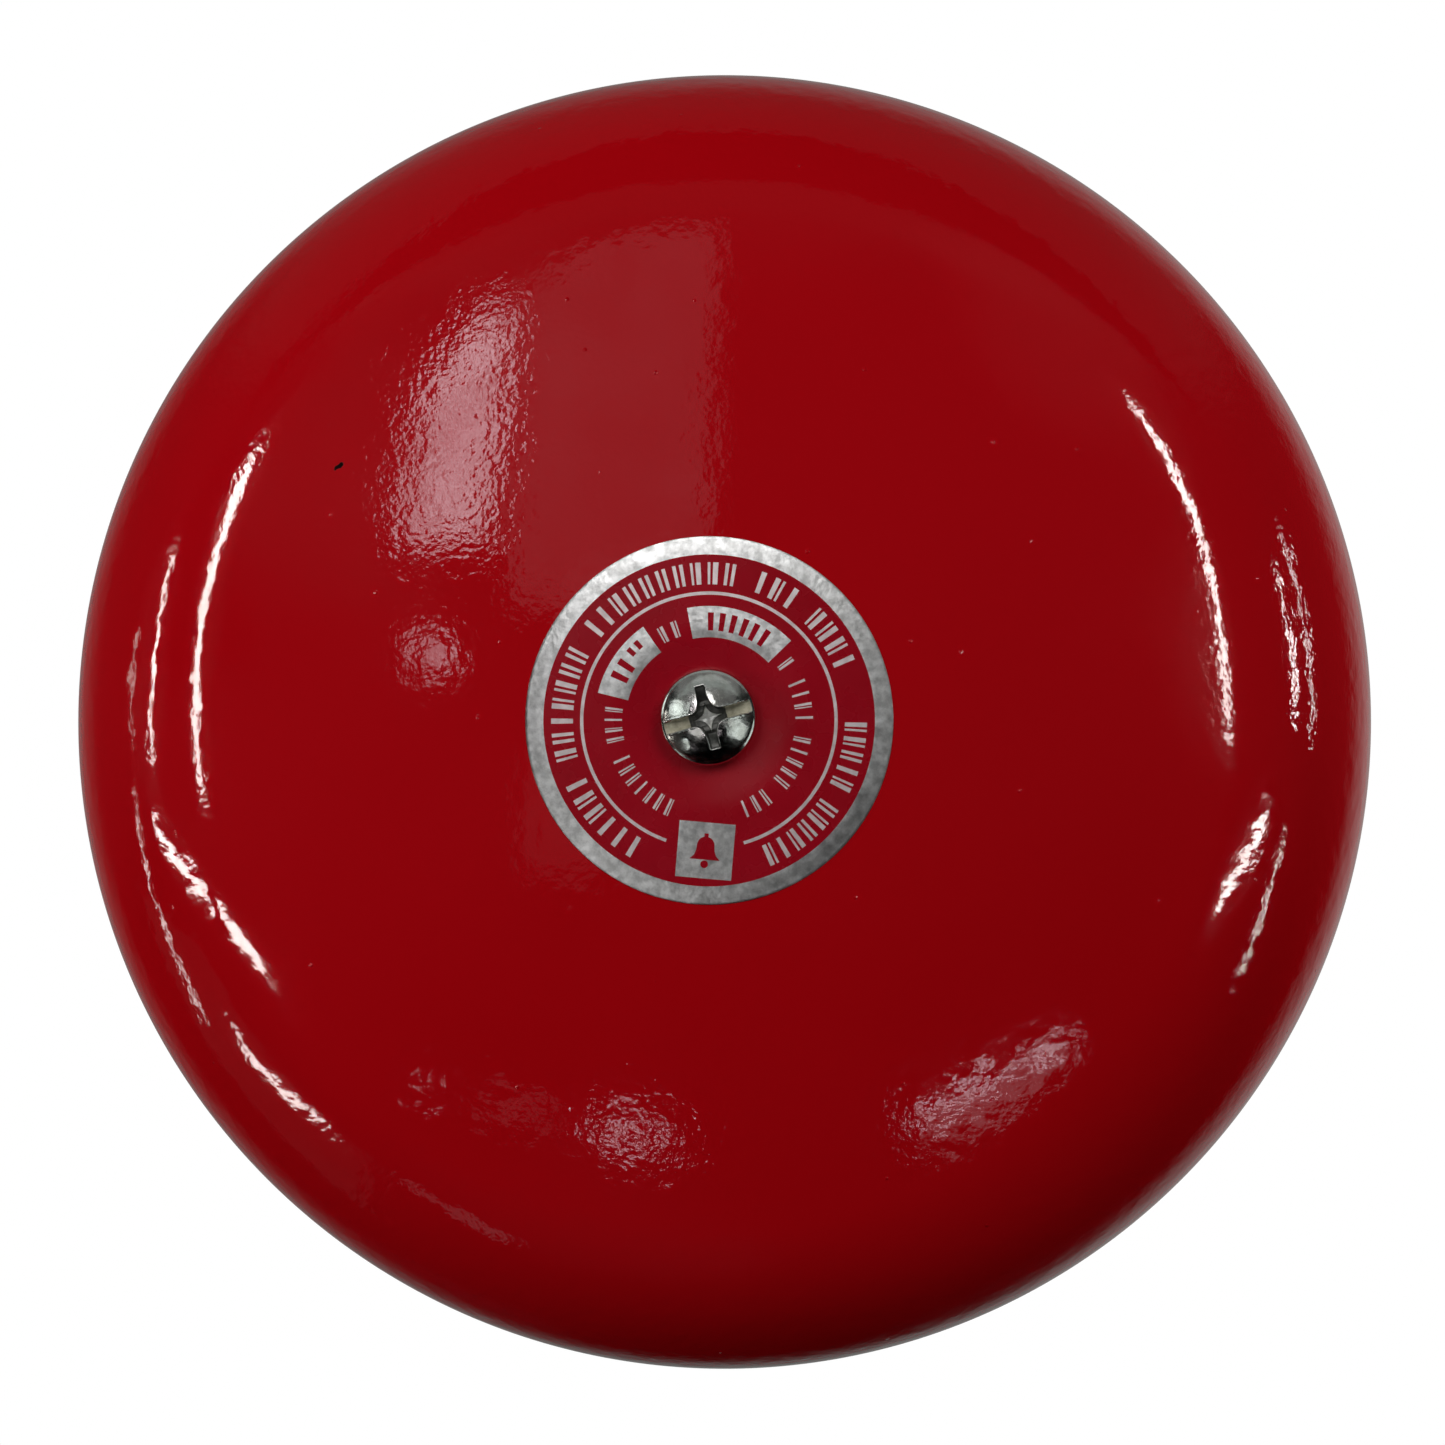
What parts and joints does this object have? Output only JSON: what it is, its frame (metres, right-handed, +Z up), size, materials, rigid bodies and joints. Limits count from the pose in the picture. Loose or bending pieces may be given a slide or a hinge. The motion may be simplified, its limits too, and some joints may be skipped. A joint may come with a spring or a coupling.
{
  "type": "wall-mounted electric fire alarm bell",
  "caption": "Red domed gong over a round housing, struck from inside by a solenoid plunger; wall-mounted fire alarm bell.",
  "frame": {"origin": "centre of the back face that lies on the wall, on the bell's axis", "axes": "+Z up the wall, -Y out of the wall towards whoever faces the gong, +X to that person's right"},
  "size_m": [0.15, 0.0601, 0.15],
  "materials": {
    "gong_enamel": "gloss",
    "foil": "satin",
    "nickel_screws": "polished",
    "zinc_steel": "satin",
    "bright_steel": "polished",
    "casting_enamel": "satin",
    "rubber": "matte",
    "brass": "satin",
    "black_moulding": "satin",
    "nylon": "satin",
    "terminal_moulding": "satin",
    "lead_insulation": "satin",
    "copper_winding": "gloss",
    "tinned_tag": "satin",
    "tape": "gloss",
    "fibre": "matte"
  },
  "bodies": {
    "bell": {"gong": "gong_enamel", "nameplate_foil": "foil", "gong_screw": "nickel_screws", "gong_fibre_washer": "fibre", "gong_post": "zinc_steel", "post_lock_washer": "zinc_steel", "base_casting": "casting_enamel", "cable_grommet": "rubber", "earth_screw": "brass", "earth_cup_washer": "brass", "earth_star_washer": "zinc_steel", "cable_clamp": "black_moulding", "cable_clamp_screws": "zinc_steel", "housing_cover": "black_moulding", "cover_gasket": "rubber", "cover_screws": "nickel_screws", "cover_screw_washers": "nickel_screws", "post_seal": "rubber", "solenoid_frame": "zinc_steel", "frame_screws": "zinc_steel", "frame_spring_washers": "zinc_steel", "coil_bobbin": "nylon", "coil_tags": "tinned_tag", "coil_winding": "copper_winding", "coil_tape": "tape", "guide_tube": "brass", "fixed_core": "zinc_steel", "tail_buffer": "rubber", "return_spring": "bright_steel", "striker_bush": "brass", "dust_wiper": "rubber", "bush_retainer": "bright_steel", "terminal_block": "terminal_moulding", "terminal_barrel_left": "brass", "terminal_barrel_right": "brass", "terminal_clamp_screws": "zinc_steel", "terminal_fixing_screw": "zinc_steel", "coil_lead_left": "lead_insulation", "coil_lead_right": "lead_insulation"},
    "striker": {"plunger": "bright_steel", "striker_rod": "bright_steel", "striker_tip": "brass", "striker_locknut": "zinc_steel"}
  },
  "joints": [
    {"name": "striker_slide", "type": "slide", "parent": "bell", "child": "striker", "axis": [0, 0, 1], "range_m": [0, 0.0033], "stiffness_N_per_m": 150, "springref_m": -0.004, "deforming": ["return_spring"]}
  ]
}
